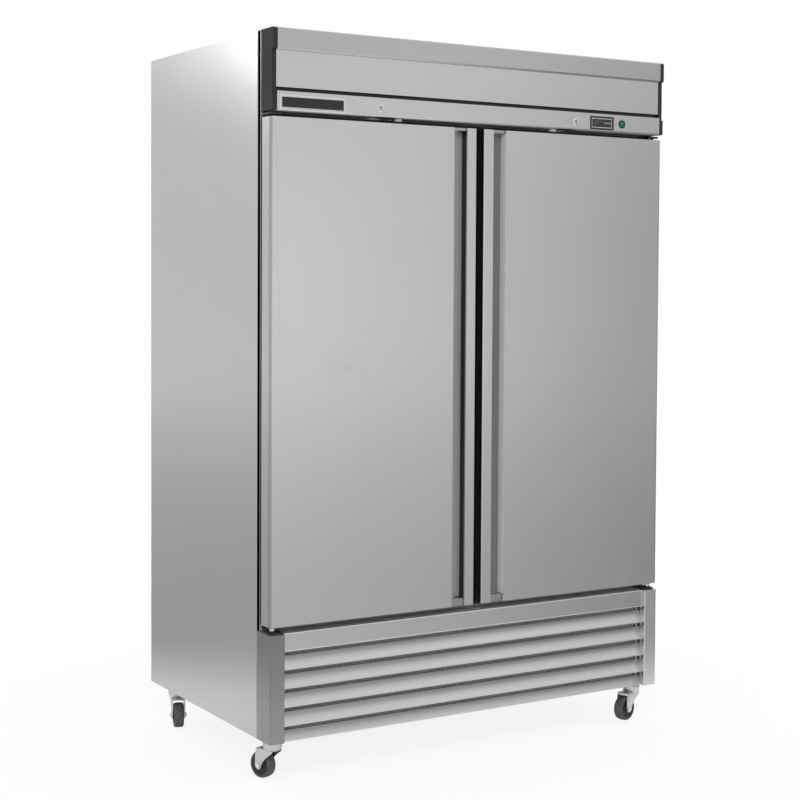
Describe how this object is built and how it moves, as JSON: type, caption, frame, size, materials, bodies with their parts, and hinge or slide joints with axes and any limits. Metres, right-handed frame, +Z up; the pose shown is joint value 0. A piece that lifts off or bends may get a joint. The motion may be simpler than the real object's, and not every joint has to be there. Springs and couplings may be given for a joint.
{
  "type": "reach-in refrigerator",
  "caption": "Upright stainless reach-in refrigerator with two solid swing doors, recessed pull channels, a louvred base and swivel casters.",
  "frame": {"origin": "on the floor, under the middle of the cabinet's overall width and depth", "axes": "+Z up, the doors face -Y, +X to the right of someone facing the doors"},
  "size_m": [1.372, 0.85, 2.086],
  "materials": {
    "stainless": "vertical brush, satin",
    "galvanised": "dull zinc, faint spangle",
    "coated_sheet": "satin white",
    "foam": "rigid cellular",
    "black_plastic": "fine grain",
    "dark_plate": "dark face, bright rim",
    "zinc": "bright zinc",
    "white_plastic": "satin",
    "shelf_coat": "epoxy coat",
    "fin_stock": "mill",
    "black_paint": "satin",
    "copper_tube": "drawn tube",
    "grey_paint": "satin",
    "gasket": "soft satin",
    "green_plastic": "gloss",
    "key_plastic": "satin",
    "fan_plastic": "satin",
    "wheel_rubber": "satin, scuffed"
  },
  "bodies": {
    "cabinet": {"left_side_panel": "stainless", "right_side_panel": "stainless", "rear_panel": "galvanised", "top_panel": "stainless", "insulation_foam": "foam", "inner_liner": "coated_sheet", "face_frame": "stainless", "header_visor": "stainless", "header_panel": "stainless", "control_fascia": "stainless", "header_end_caps": "black_plastic", "nameplate": "dark_plate", "controller": "black_plastic", "switch_bezel": "black_plastic", "lock_housings": "zinc", "hinge_brackets": "zinc", "door_switches": "white_plastic", "shelf_supports": "zinc", "wire_shelves": "shelf_coat", "evaporator_housing": "galvanised", "evaporator_coil": "fin_stock", "evaporator_motors": "black_paint", "interior_lights": "white_plastic", "base_frame": "galvanised", "grille_frame": "stainless", "grille_louvres": "stainless", "compressor": "black_paint", "condenser_coil": "fin_stock", "condenser_fan_motor": "black_plastic", "condensate_pan": "black_plastic", "refrigerant_lines": "copper_tube", "electrical_box": "grey_paint", "rear_vent_cover": "galvanised", "caster_plates": "zinc", "panel_screws": "zinc"},
    "left_door": {"left_door_skin": "stainless", "left_door_liner": "coated_sheet", "left_door_foam": "foam", "left_door_gasket": "gasket"},
    "right_door": {"right_door_skin": "stainless", "right_door_liner": "coated_sheet", "right_door_foam": "foam", "right_door_gasket": "gasket"},
    "left_lock": {"left_lock_barrel": "zinc"},
    "right_lock": {"right_lock_barrel": "zinc"},
    "rocker": {"power_rocker": "green_plastic"},
    "set_key": {"set_button": "key_plastic"},
    "up_key": {"up_button": "key_plastic"},
    "down_key": {"down_button": "key_plastic"},
    "left_evaporator_fan": {"evaporator_fan_left": "fan_plastic"},
    "right_evaporator_fan": {"evaporator_fan_right": "fan_plastic"},
    "rear_condenser_fan": {"condenser_fan": "fin_stock"},
    "fork_1": {"caster_fork_1": "zinc"},
    "wheel_1": {"caster_wheel_1": "wheel_rubber"},
    "fork_2": {"caster_fork_2": "zinc"},
    "wheel_2": {"caster_wheel_2": "wheel_rubber"},
    "fork_3": {"caster_fork_3": "zinc"},
    "wheel_3": {"caster_wheel_3": "wheel_rubber"},
    "fork_4": {"caster_fork_4": "zinc"},
    "wheel_4": {"caster_wheel_4": "wheel_rubber"}
  },
  "joints": [
    {"name": "left_door_hinge", "type": "hinge", "parent": "cabinet", "child": "left_door", "pos_m": [-0.668, -0.391, 1.1445], "axis": [0, 0, -1], "range_deg": [0, 110], "stiffness_Nm_per_rad": 2.5, "springref_deg": -8.59},
    {"name": "right_door_hinge", "type": "hinge", "parent": "cabinet", "child": "right_door", "pos_m": [0.668, -0.391, 1.1445], "axis": [0, 0, 1], "range_deg": [0, 110], "stiffness_Nm_per_rad": 2.5, "springref_deg": -8.59},
    {"name": "left_lock_turn", "type": "hinge", "parent": "cabinet", "child": "left_lock", "pos_m": [-0.345, -0.398, 1.885], "axis": [0, 1, 0], "range_deg": [0, 90]},
    {"name": "right_lock_turn", "type": "hinge", "parent": "cabinet", "child": "right_lock", "pos_m": [0.345, -0.398, 1.885], "axis": [0, -1, 0], "range_deg": [0, 90]},
    {"name": "power_rocker_tilt", "type": "hinge", "parent": "cabinet", "child": "rocker", "pos_m": [0.522, -0.421, 1.887], "axis": [1, 0, 0], "range_deg": [-12, 0]},
    {"name": "set_key_press", "type": "slide", "parent": "cabinet", "child": "set_key", "axis": [0, 1, 0], "range_m": [0, 0.0005], "stiffness_N_per_m": 800, "springref_m": -0.0002},
    {"name": "up_key_press", "type": "slide", "parent": "cabinet", "child": "up_key", "axis": [0, 1, 0], "range_m": [0, 0.0005], "stiffness_N_per_m": 800, "springref_m": -0.0002},
    {"name": "down_key_press", "type": "slide", "parent": "cabinet", "child": "down_key", "axis": [0, 1, 0], "range_m": [0, 0.0005], "stiffness_N_per_m": 800, "springref_m": -0.0002},
    {"name": "left_evaporator_fan_spin", "type": "hinge", "parent": "cabinet", "child": "left_evaporator_fan", "pos_m": [-0.21, -0.119, 1.8522], "axis": [0, 0, 1], "continuous": true},
    {"name": "right_evaporator_fan_spin", "type": "hinge", "parent": "cabinet", "child": "right_evaporator_fan", "pos_m": [0.21, -0.119, 1.8522], "axis": [0, 0, 1], "continuous": true},
    {"name": "condenser_fan_spin", "type": "hinge", "parent": "cabinet", "child": "rear_condenser_fan", "pos_m": [0, -0.262, 0.2546], "axis": [0, 1, 0], "continuous": true},
    {"name": "caster_1_swivel", "type": "hinge", "parent": "cabinet", "child": "fork_1", "pos_m": [-0.644, -0.347, 0.1], "axis": [0, 0, 1], "continuous": true},
    {"name": "caster_1_wheel", "type": "hinge", "parent": "fork_1", "child": "wheel_1", "pos_m": [-0.65572, -0.31296, 0.038], "axis": [-0.9455, -0.3256, 0], "continuous": true},
    {"name": "caster_2_swivel", "type": "hinge", "parent": "cabinet", "child": "fork_2", "pos_m": [0.644, -0.347, 0.1], "axis": [0, 0, 1], "continuous": true},
    {"name": "caster_2_wheel", "type": "hinge", "parent": "fork_2", "child": "wheel_2", "pos_m": [0.60923, -0.35632, 0.038], "axis": [0.2588, -0.9659, 0], "continuous": true},
    {"name": "caster_3_swivel", "type": "hinge", "parent": "cabinet", "child": "fork_3", "pos_m": [-0.644, 0.315, 0.1], "axis": [0, 0, 1], "continuous": true},
    {"name": "caster_3_wheel", "type": "hinge", "parent": "fork_3", "child": "wheel_3", "pos_m": [-0.65512, 0.28076, 0.038], "axis": [0.9511, -0.309, 0], "continuous": true},
    {"name": "caster_4_swivel", "type": "hinge", "parent": "cabinet", "child": "fork_4", "pos_m": [0.644, 0.315, 0.1], "axis": [0, 0, 1], "continuous": true},
    {"name": "caster_4_wheel", "type": "hinge", "parent": "fork_4", "child": "wheel_4", "pos_m": [0.61017, 0.32731, 0.038], "axis": [-0.342, -0.9397, 0], "continuous": true}
  ]
}
